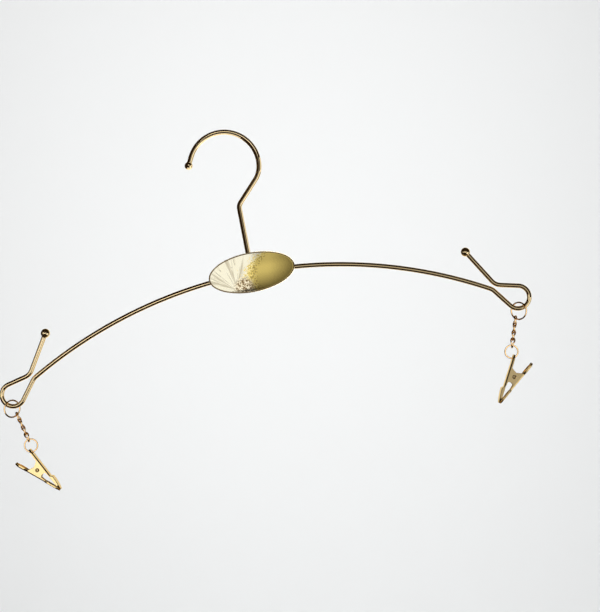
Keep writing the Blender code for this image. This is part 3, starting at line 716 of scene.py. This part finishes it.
def add_rivet(label, matrix, material):
    """A tubular rivet: a shank with a rolled head and a blind bore on each end."""
    shank = RIVET_DIAMETER / 2
    head = RIVET_HEAD_DIAMETER / 2
    bore = RIVET_BORE_DIAMETER / 2
    seat = CLIP_WIDTH / 2 + RIVET_PLAY
    crown = seat + RIVET_HEAD_HEIGHT
    roll_width = (head - bore) / 2
    half = [(shank, seat), (head - SEAM_CHAMFER, seat)]
    for step in range(ROLL_STEPS + 1):
        angle = math.pi * step / ROLL_STEPS
        across = bore + roll_width * (1 + math.cos(angle))
        half.append((across, seat + SEAM_CHAMFER + (RIVET_HEAD_HEIGHT - SEAM_CHAMFER) * math.sin(angle)))
    half += [(bore, crown - RIVET_BORE_DEPTH), (0, crown - RIVET_BORE_DEPTH)]
    profile = [(radius, -y) for radius, y in half[::-1]] + half
    vertices, faces = turned(profile, TURNED_STEPS, matrix)
    name = label + "_clip_rivet"
    return add_piece(name + "_fine", vertices, faces, material, label + "_clip", [name])


def spring_route():
    """Centreline of the torsion spring in the clip's frame, and half its length along the rivet."""
    radius = RIVET_DIAMETER / 2 + COIL_PLAY + SPRING_WIRE / 2
    pivot_u = PIVOT_FROM_TIP * math.cos(HALF_ANGLE) - JAW_TIP[1] * math.sin(HALF_ANGLE)
    depth = JAW_SHEET + SEAT_GAP + SPRING_WIRE / 2
    ends = [Vector(jaw_to_clip(pivot_u + SPRING_LEG_REACH, depth, side)) for side in (1, -1)]
    first, last = (math.atan2(end.y, end.x) - side * math.acos(radius / end.length)
                   for end, side in zip(ends, (1, -1)))
    turn = -(math.tau * SPRING_TURNS + (first - last) % math.tau)
    steps = math.ceil(abs(turn) / math.tau * SPRING_STEPS)
    half = SPRING_PITCH * abs(turn) / math.tau / 2
    points = []
    for step in range(steps + 1):
        angle = first + turn * step / steps
        along = half * (2 * step / steps - 1)
        points.append(Vector((radius * math.cos(angle), along, radius * math.sin(angle))))
    legs = []
    for end, near, y in ((ends[0], points[0], -half), (ends[1], points[-1], half)):
        far = Vector((end.x, y, end.y))
        legs.append([far.lerp(near, step / LEG_STEPS) for step in range(LEG_STEPS)])
    return legs[0] + points + legs[1][::-1], half


def add_spring(label, matrix, material):
    """The torsion spring, whose legs follow the clip and its free jaw."""
    route, half = spring_route()
    points = [matrix @ point for point in route]
    vertices, faces = tube(points, [SPRING_WIRE / 2] * len(points), SPRING_SIDES)
    name = label + "_clip_spring"
    piece = add_piece(name + "_fine", vertices, faces, material, None, [name])
    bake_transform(piece)
    return piece


def add_side(label, outward, materials):
    """Ring, chain and clip of one side, as a list of chain pieces and a list of clip pieces."""
    chain_gold, clip_gold, spring_gold = materials
    low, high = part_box(label + "_upper_ring")
    ring_centre = (low + high) / 2
    slant = math.radians(UPPER_RING_SLANT_DEG)
    along_loop = Y_AXIS.cross(-RING_DOWN)
    ring_normal = outward * math.sin(slant) * along_loop + math.cos(slant) * Y_AXIS
    chain = [add_ring(label + "_upper_ring", ring_centre, ring_normal, UPPER_RING_DIAMETER, UPPER_RING_WIRE,
                      UPPER_SEAM_SHARE, chain_gold)]
    lead = turned_about(RING_DOWN, ring_normal, outward * CHAIN_LEAD_DEG[label])
    start = ring_centre + lead * (UPPER_RING_DIAMETER - UPPER_RING_WIRE) / 2
    lean = math.radians(CHAIN_LEAN_DEG[label])
    down = Vector((-outward * math.sin(lean), 0, -math.cos(lean)))
    side = (ring_normal - down * ring_normal.dot(down)).normalized()
    for number, (centre, middle) in enumerate(chain_places(start, lead, down, side, -outward), 1):
        chain.append(add_link(f"{label}_chain_link_{number}", centre, down, middle, -outward, chain_gold))
    low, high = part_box(label + "_lower_ring")
    chain.append(add_ring(label + "_lower_ring", (low + high) / 2, Y_AXIS, LOWER_RING_DIAMETER,
                          LOWER_RING_WIRE, LOWER_SEAM_SHARE, chain_gold))
    matrix = clip_matrix(label, outward)
    clip = [add_jaw(label + "_ring_jaw", label + "_clip", 1, matrix, clip_gold),
            add_jaw(label + "_free_jaw", label + "_free_jaw", -1, matrix, clip_gold),
            add_rivet(label, matrix, clip_gold),
            add_spring(label, matrix, spring_gold)]
    return chain, clip


# Materials

def feed(tree, socket, value):
    """Sets a socket to a number or links it to another socket."""
    if isinstance(value, bpy.types.NodeSocket):
        tree.links.new(value, socket)
    else:
        socket.default_value = value


def add_math(tree, operation, first, second=0.0):
    """The result of a sum on two numbers or sockets."""
    node = tree.nodes.new("ShaderNodeMath")
    node.operation = operation
    feed(tree, node.inputs[0], first)
    feed(tree, node.inputs[1], second)
    return node.outputs[0]


def add_noise(tree, place, size, detail):
    """A noise whose largest patches have about the given size."""
    node = tree.nodes.new("ShaderNodeTexNoise")
    node.inputs["Scale"].default_value = 1 / size
    node.inputs["Detail"].default_value = detail
    tree.links.new(place, node.inputs["Vector"])
    return node.outputs["Fac"]


def add_ramp(tree, value, start, end, low=0.0, high=1.0, way="SMOOTHSTEP"):
    """A number that runs from low at start to high at end."""
    node = tree.nodes.new("ShaderNodeMapRange")
    node.interpolation_type = way
    tree.links.new(value, node.inputs["Value"])
    for name, number in zip(("From Min", "From Max", "To Min", "To Max"), (start, end, low, high)):
        node.inputs[name].default_value = number
    return node.outputs["Result"]


def add_mix(tree, share, first, second):
    """A colour between two colours."""
    node = tree.nodes.new("ShaderNodeMix")
    node.data_type = "RGBA"
    tree.links.new(share, node.inputs[0])
    feed(tree, node.inputs[6], first)
    feed(tree, node.inputs[7], second)
    return node.outputs[2]


def add_reach(tree, x, z, place):
    """How far a point lies from a place, with its offsets across and up."""
    across = add_math(tree, "SUBTRACT", x, place[0])
    up = add_math(tree, "SUBTRACT", z, place[1])
    square = add_math(tree, "MULTIPLY", across, across)
    square = add_math(tree, "ADD", square, add_math(tree, "MULTIPLY", up, up))
    return add_math(tree, "SQRT", square), across, up


def polished(name, colour, shade, roughness, grain, bump):
    """Plated metal whose colour, gloss and surface vary a little, in patches up to the size of the grain."""
    material = bpy.data.materials.new(name)
    material.use_nodes = True
    tree = material.node_tree
    shader = tree.nodes["Principled BSDF"]
    shader.inputs["Metallic"].default_value = 1
    shader.inputs["Specular Tint"].default_value = EDGE_TINT
    place = tree.nodes.new("ShaderNodeTexCoord").outputs["Object"]
    patches = add_noise(tree, place, grain, PATCH_DETAIL)
    base = (*colour, 1)
    if shade != colour:
        base = add_mix(tree, patches, base, (*shade, 1))
    feed(tree, shader.inputs["Base Color"], base)
    gloss = add_ramp(tree, patches, *GLOSS_BAND, *roughness, way="LINEAR")
    tree.links.new(gloss, shader.inputs["Roughness"])
    relief = tree.nodes.new("ShaderNodeBump")
    relief.inputs["Strength"].default_value = 1
    relief.inputs["Distance"].default_value = bump
    tree.links.new(add_noise(tree, place, grain / RIPPLE_SHARE, RIPPLE_DETAIL), relief.inputs["Height"])
    tree.links.new(relief.outputs["Normal"], shader.inputs["Normal"])
    return material


def plate_with_painted_light():
    """The plate's gold with painted light: a pale painted reflection with painted crease shade at the left,
    painted highlights and shade of crumpled metal at their foot, and an olive painted reflection at the
    right.
    """
    material = polished("plate_gold", PALE_PAINTED_REFLECTION, PALE_PAINTED_REFLECTION_SHADE,
                        roughness=(0.08, 0.12), grain=0.008, bump=0.000009)
    tree = material.node_tree
    base = tree.nodes["Principled BSDF"].inputs["Base Color"]
    pale = base.links[0].from_socket
    place = tree.nodes.new("ShaderNodeTexCoord").outputs["Object"]
    parts = tree.nodes.new("ShaderNodeSeparateXYZ")
    tree.links.new(place, parts.inputs[0])
    x = add_math(tree, "SUBTRACT", parts.outputs["X"], PLATE_CENTRE.x)
    z = add_math(tree, "SUBTRACT", parts.outputs["Z"], PLATE_CENTRE.z)
    specks = add_math(tree, "SUBTRACT", add_noise(tree, place, SPECK_SIZE, NOISE_DETAIL), NOISE_MIDDLE)

    # Painted reflections: the pale left half turns gold and then olive across a bowed line, whose frosted
    # specks and dark flecks are painted reflections too
    height = add_math(tree, "SUBTRACT", z, MEETING_PLACE[1])
    bow = add_math(tree, "MULTIPLY", add_math(tree, "MULTIPLY", height, height), MEETING_BOW)
    past = add_math(tree, "SUBTRACT", add_math(tree, "SUBTRACT", x, MEETING_PLACE[0]), bow)
    past = add_math(tree, "DIVIDE", past, MEETING_WIDTH)
    gold_share = add_ramp(tree, past, *GOLD_BAND)
    near = add_math(tree, "ABSOLUTE", add_math(tree, "SUBTRACT", past, FLECK_MIDDLE))
    flecked = add_ramp(tree, near, *FLECK_BAND, FLECK_SHARE, 0.0)
    past = add_math(tree, "ADD", past, add_math(tree, "MULTIPLY", specks, SPECK_CONTRAST))
    olive_share = add_ramp(tree, past, *OLIVE_BAND)
    creased = add_ramp(tree, x, CREASES_FROM, CREASES_TO, 1.0, 0.0)

    # Painted shade: the creases that fan out from their foot are darkened wedges and fold lines in the base
    # colour
    reach, across, up = add_reach(tree, x, z, FAN_PLACE)
    turn = add_math(tree, "MULTIPLY", add_math(tree, "ARCTAN2", up, across), CREASES_PER_RADIAN)
    fan = tree.nodes.new("ShaderNodeCombineXYZ")
    tree.links.new(turn, fan.inputs[0])
    tree.links.new(add_math(tree, "DIVIDE", reach, CREASE_RUN), fan.inputs[1])
    folds = add_noise(tree, fan.outputs[0], 1.0, NOISE_DETAIL)
    bent = add_math(tree, "MULTIPLY", add_ramp(tree, folds, *CREASE_CUT), creased)
    colour = add_mix(tree, bent, pale, (*CREASE_PAINTED_SHADE, 1))
    from_fold = add_math(tree, "ABSOLUTE", add_math(tree, "SUBTRACT", folds, NOISE_MIDDLE))
    line = add_math(tree, "MULTIPLY", add_ramp(tree, from_fold, 0.0, FOLD_WIDTH, FOLD_SHARE, 0.0), creased)
    colour = add_mix(tree, line, colour, (*FOLD_PAINTED_SHADE, 1))
    # Painted reflections: gold along the meeting line, then the olive dim reflection at the right, then dark
    # painted flecks
    colour = add_mix(tree, gold_share, colour, (*GOLD_SPECKS, 1))
    colour = add_mix(tree, olive_share, colour, (*OLIVE_PAINTED_REFLECTION, 1))
    flecks = add_math(tree, "MULTIPLY", add_ramp(tree, specks, *FLECK_CUT), flecked)
    colour = add_mix(tree, flecks, colour, (*FLECK_COLOUR, 1))

    # Painted highlights and shade: the crumpled foot runs from dark brown to cream in a noise
    crumple = tree.nodes.new("ShaderNodeValToRGB")
    dark, light = crumple.color_ramp.elements
    middle = crumple.color_ramp.elements.new(FOOT_PAINTED_LIGHT_AND_SHADE[1][0])
    for element, (position, shade) in zip((dark, middle, light), FOOT_PAINTED_LIGHT_AND_SHADE):
        element.position = position
        element.color = (*shade, 1)
    tree.links.new(add_math(tree, "ADD", specks, NOISE_MIDDLE), crumple.inputs[0])
    away = add_reach(tree, x, z, FOOT_PLACE)[0]
    colour = add_mix(tree, add_ramp(tree, away, FOOT_NEAR, FOOT_FAR, 1.0, 0.0), colour, crumple.outputs[0])
    tree.links.new(colour, base)
    return material


# Studio

def in_photo(across, up, toward):
    """A place given as the photograph shows it, from the plate's centre."""
    roll = math.radians(CAMERA_ROLL_DEG)
    right = Vector((math.cos(roll), 0, -math.sin(roll)))
    top = Vector((math.sin(roll), 0, math.cos(roll)))
    return PLATE_CENTRE + across * right + up * top - toward * Y_AXIS


def fade(data, fades):
    """Dims a light towards its edges. Each fade is an axis, where it starts and ends, and its last level."""
    data.use_nodes = True
    tree = data.node_tree
    parts = tree.nodes.new("ShaderNodeSeparateXYZ")
    tree.links.new(tree.nodes.new("ShaderNodeNewGeometry").outputs["Parametric"], parts.inputs[0])
    level = 1.0
    for axis, start, end, last in fades:
        dimmed = add_ramp(tree, parts.outputs[axis], start, end, 1.0, last, way="LINEAR")
        level = add_math(tree, "MULTIPLY", level, dimmed)
    tree.links.new(level, tree.nodes["Emission"].inputs["Strength"])


def softbox(name, place, aim, size, glow, lean_deg=0.0, mirrored=True, fades=(), only=()):
    """A flat light that the camera doesn't see, for all pieces or only some.

    Its place and aim are given as the photograph shows them, and glow is its brightness.
    """
    data = bpy.data.lights.new(name, "AREA")
    data.shape = "RECTANGLE"
    width, height = size
    data.size = width
    data.size_y = height
    data.energy = glow * math.pi * width * height
    if fades:
        fade(data, fades)
    light = bpy.data.objects.new(name, data)
    bpy.context.scene.collection.objects.link(light)
    back = (in_photo(*place) - in_photo(*aim)).normalized()
    top = in_photo(0, 1, 0) - in_photo(0, 0, 0)
    side = top.cross(back).normalized()
    turn = Matrix((side, back.cross(side), back)).transposed().to_4x4()
    lean = Matrix.Rotation(math.radians(lean_deg), 4, "Z")
    light.matrix_world = Matrix.Translation(in_photo(*place)) @ turn @ lean
    light.visible_camera = False
    light.visible_glossy = mirrored
    if only:
        group = bpy.data.collections.new(name + "_receivers")
        for piece in only:
            group.objects.link(piece)
        light.light_linking.receiver_collection = group
    return light


def add_paper():
    """The pale sheet behind the hanger, swept forward into a floor."""
    vertices = []
    faces = []
    profile = [(PAPER_BACK, PAPER_TOP)]
    for step in range(PAPER_STEPS + 1):
        angle = math.pi / 2 * step / PAPER_STEPS
        forward = PAPER_SWEEP * (1 - math.cos(angle))
        lift = PAPER_SWEEP * (1 - math.sin(angle))
        profile.append((PAPER_BACK - forward, PAPER_FLOOR + lift))
    profile.append((-PAPER_BACK, PAPER_FLOOR))
    for y, z in profile:
        vertices.append((-PAPER_HALF_WIDTH, y, z))
        vertices.append((PAPER_HALF_WIDTH, y, z))
    for number in range(len(profile) - 1):
        low = 2 * number
        faces.append((low, low + 1, low + 3, low + 2))
    mesh = bpy.data.meshes.new("paper")
    mesh.from_pydata(vertices, [], faces)
    mesh.shade_smooth()
    paper = bpy.data.objects.new("paper", mesh)
    bpy.context.scene.collection.objects.link(paper)
    material = bpy.data.materials.new("white_paper")
    material.use_nodes = True
    shader = material.node_tree.nodes["Principled BSDF"]
    shader.inputs["Base Color"].default_value = (*PAPER_COLOUR, 1)
    shader.inputs["Roughness"].default_value = PAPER_ROUGHNESS
    shader.inputs["Specular IOR Level"].default_value = 0
    mesh.materials.append(material)
    paper.visible_glossy = False
    return paper


def add_world():
    """Light from all round: a dark warm room and pale paper, which is behind and below in the picture."""
    world = bpy.data.worlds.new("studio")
    bpy.context.scene.world = world
    world.use_nodes = True
    tree = world.node_tree
    tree.nodes.clear()
    output = tree.nodes.new("ShaderNodeOutputWorld")
    place = tree.nodes.new("ShaderNodeTexCoord")
    towards = tree.nodes.new("ShaderNodeVectorMath")
    towards.operation = "DOT_PRODUCT"
    towards.inputs[1].default_value = (in_photo(*PALE_SIDE) - PLATE_CENTRE).normalized()
    tree.links.new(place.outputs["Generated"], towards.inputs[0])
    share = add_ramp(tree, towards.outputs["Value"], PALE_SEEN_FROM, PALE_SEEN_TO)
    around = tree.nodes.new("ShaderNodeBackground")
    colour = add_mix(tree, share, (*ROOM_COLOUR, 1), (*MIRRORED_PAPER_COLOUR, 1))
    tree.links.new(colour, around.inputs["Color"])
    plain = tree.nodes.new("ShaderNodeBackground")
    plain.inputs["Color"].default_value = (*BEYOND_PAPER_COLOUR, 1)
    path = tree.nodes.new("ShaderNodeLightPath")
    mix = tree.nodes.new("ShaderNodeMixShader")
    tree.links.new(path.outputs["Is Camera Ray"], mix.inputs["Fac"])
    tree.links.new(around.outputs[0], mix.inputs[1])
    tree.links.new(plain.outputs[0], mix.inputs[2])
    tree.links.new(mix.outputs[0], output.inputs["Surface"])


def add_camera():
    """The camera, straight above the photographed front, rolled as the photograph is."""
    data = bpy.data.cameras.new("camera")
    data.lens = LENS_MM
    data.sensor_width = SENSOR_MM
    camera = bpy.data.objects.new("camera", data)
    bpy.context.scene.collection.objects.link(camera)
    yaw, pitch = math.radians(CAMERA_YAW_DEG), math.radians(CAMERA_PITCH_DEG)
    forward = Vector((math.sin(yaw) * math.cos(pitch), math.cos(yaw) * math.cos(pitch), math.sin(pitch)))
    right = Vector((math.cos(yaw), -math.sin(yaw), 0))
    up = right.cross(forward)
    roll = math.radians(CAMERA_ROLL_DEG)
    side = math.cos(roll) * right - math.sin(roll) * up
    top = math.sin(roll) * right + math.cos(roll) * up
    turn = Matrix((side, top, -forward)).transposed().to_4x4()
    camera.matrix_world = Matrix.Translation(CAMERA_PLACE) @ turn
    bpy.context.scene.camera = camera


# The whole scene

wire_gold = polished("polished_gold", (0.98, 0.79, 0.48), (0.95, 0.73, 0.41),
                     roughness=(0.04, 0.07), grain=0.004, bump=0.000001)
chain_gold = polished("rose_gold", (1.0, 0.73, 0.42), (0.95, 0.62, 0.30),
                      roughness=(0.06, 0.10), grain=0.002, bump=0.000002)
clip_gold = polished("pressed_gold", (0.98, 0.78, 0.42), (0.92, 0.67, 0.30),
                     roughness=(0.06, 0.12), grain=0.030, bump=0.0003)
clip_gold.node_tree.nodes["Principled BSDF"].inputs["Specular Tint"].default_value = CLIP_EDGE_TINT
spring_gold = polished("spring_gold", (0.90, 0.64, 0.36), (0.75, 0.50, 0.28),
                       roughness=(0.12, 0.20), grain=0.001, bump=0.000002)
solder_gold = polished("solder_gold", (0.85, 0.68, 0.42), (0.70, 0.55, 0.34),
                       roughness=(0.15, 0.30), grain=0.001, bump=0.00001)
# The plate's gold, with painted reflections, painted crease shade and painted light on the crumpled foot
plate_gold = plate_with_painted_light()
back_gold = polished("plate_back_gold", (1.0, 0.88, 0.56), (0.96, 0.81, 0.46),
                     roughness=(0.10, 0.20), grain=0.010, bump=0.00001)
# Painted shade for the groove inside the plate's rim
groove_painted_shade = polished("groove_painted_shade", GROOVE_PAINTED_SHADE, GROOVE_PAINTED_SHADE, (0.25, 0.35), 0.001, 0.000001)

half, leg_heading = arm_half()
left_half = [(-x, z) for x, z in half[:0:-1]]
arm_route = in_plane(left_half + [tuple(point) for point in half])
arms = [add_wire("arm_wire", arm_route, ARM_WIRE_DIAMETER, wire_gold)]
route, tip_heading = hook_route()
hook = [add_wire("hook_wire", in_plane(route), HOOK_WIRE_DIAMETER, wire_gold)]
hook_tip = in_plane(route[-1:])[0]
tip_direction = Vector((math.cos(tip_heading), 0, math.sin(tip_heading)))
hook.append(add_ball("hook_ball", hook_tip, tip_direction, HOOK_BALL_DIAMETER, HOOK_WIRE_DIAMETER, wire_gold))
chains = {}
clips = {}
for label, outward in (("left", -1), ("right", 1)):
    leg_end = in_plane(half[-1:], outward)[0]
    direction = Vector((outward * math.cos(leg_heading), 0, math.sin(leg_heading)))
    ball = add_ball(label + "_arm_ball", leg_end, direction, ARM_BALL_DIAMETER, ARM_WIRE_DIAMETER, wire_gold)
    arms.append(ball)
    chains[label], clips[label] = add_side(label, outward, (chain_gold, clip_gold, spring_gold))
    solder_place = PLATE_CENTRE + Vector((outward * PLATE_WIDTH / 4, 0, -ARM_BELOW_PLATE_CENTRE))
    add_solder(label + "_solder", solder_place, X_AXIS, solder_gold)
add_solder("stem_solder", PLATE_CENTRE + Vector((0, 0, PLATE_HEIGHT / 4)), Z_AXIS, solder_gold)
plate = add_plate(plate_gold, groove_painted_shade, back_gold)

paper = add_paper()
add_world()
softbox("plate_left", (-0.28, 0.05, 1.05), (-0.28, 0.05, 0), (0.505, 1.20), glow=0.95,
        lean_deg=PLATE_LIGHT_LEAN_DEG, only=[plate])
softbox("plate_right", (0.135, 0.05, 1.05), (0.135, 0.05, 0), (0.33, 1.20), glow=0.74,
        lean_deg=PLATE_LIGHT_LEAN_DEG, only=[plate],
        fades=[("X", 0.4, 1.0, 0.15), ("Y", 0.6, 0.0, 0.1), ("Y", 0.45, 0.75, 0.66)])
softbox("plate_edge_low", (0.80, -0.80, -0.20), (0, 0, 0), (1.2, 1.6), glow=3.4, only=[plate])
softbox("plate_edge_high", (0.50, 0.95, -0.20), (0, 0, 0), (1.2, 1.6), glow=3.8, only=[plate])
softbox("arms_left", (-0.28, 0, 1.05), (-0.28, 0, 0), (0.45, 0.34), glow=1.6, only=arms)
softbox("arms_right", (0.26, 0, 1.05), (0.26, 0, 0), (0.60, 0.80), glow=0.45, only=arms)
softbox("arms_low", (0.25, -0.90, -0.75), (0, 0, 0), (2.4, 0.7), glow=0.45, only=arms)
softbox("hook_back", (0.25, -0.90, -0.75), (0, 0, 0), (2.4, 0.8), glow=1.3, only=hook)
softbox("hook_high", (0.08, 0.45, 1.05), (0.08, 0.45, 0), (0.65, 0.30), glow=1.6, only=hook)
softbox("hook_low", (0.50, -0.95, 0.15), (0.50, 0.10, 0), (2.4, 0.8), glow=1.1, only=hook)
softbox("hook_dim", (0.30, 0.05, 1.05), (0.30, 0.05, 0), (0.60, 0.50), glow=0.25, only=hook)
softbox("hook_edge", (0.80, 0.16, 0.0), (0, 0.04, 0), (0.80, 0.40), glow=0.9, only=hook)
softbox("left_chain_box", (-0.25, -0.14, 0.60), (-0.15, -0.10, 0), (0.8, 0.8), glow=2.1, only=chains["left"])
softbox("right_chain_box", (0.26, -0.04, 0.60), (0.17, -0.03, 0), (0.8, 0.8), glow=2.1, only=chains["right"])
softbox("left_clip_box", (-0.23, -0.20, 0.60), (-0.13, -0.13, 0), (0.26, 0.26), glow=1.25, only=clips["left"])
softbox("right_clip_box", (0.25, -0.09, 0.60), (0.16, -0.06, 0), (0.26, 0.26), glow=0.42, only=clips["right"])
softbox("left_card", (-0.40, -0.02, 0.25), (-0.17, -0.02, 0), (0.20, 0.25), glow=0.9, only=arms)
softbox("right_softbox", (1.0, -0.45, 0.60), (0, -0.05, 0), (1.20, 0.90), glow=1.0,
        only=arms + hook + clips["right"])
softbox("paper_light", (0, 0.3, 0.3), (0, 0.3, -1.7), (1.0, 1.0), glow=12.3, mirrored=False)
floor_light = softbox("floor_light", (0, 1.3, 1.2), (0, -1.5, 0.8), (1.0, 1.0), glow=4.2, mirrored=False,
                      only=[paper])
floor_light.data.spread = math.radians(FLOOR_SPREAD_DEG)
add_camera()
bpy.context.scene.view_settings.view_transform = "Standard"
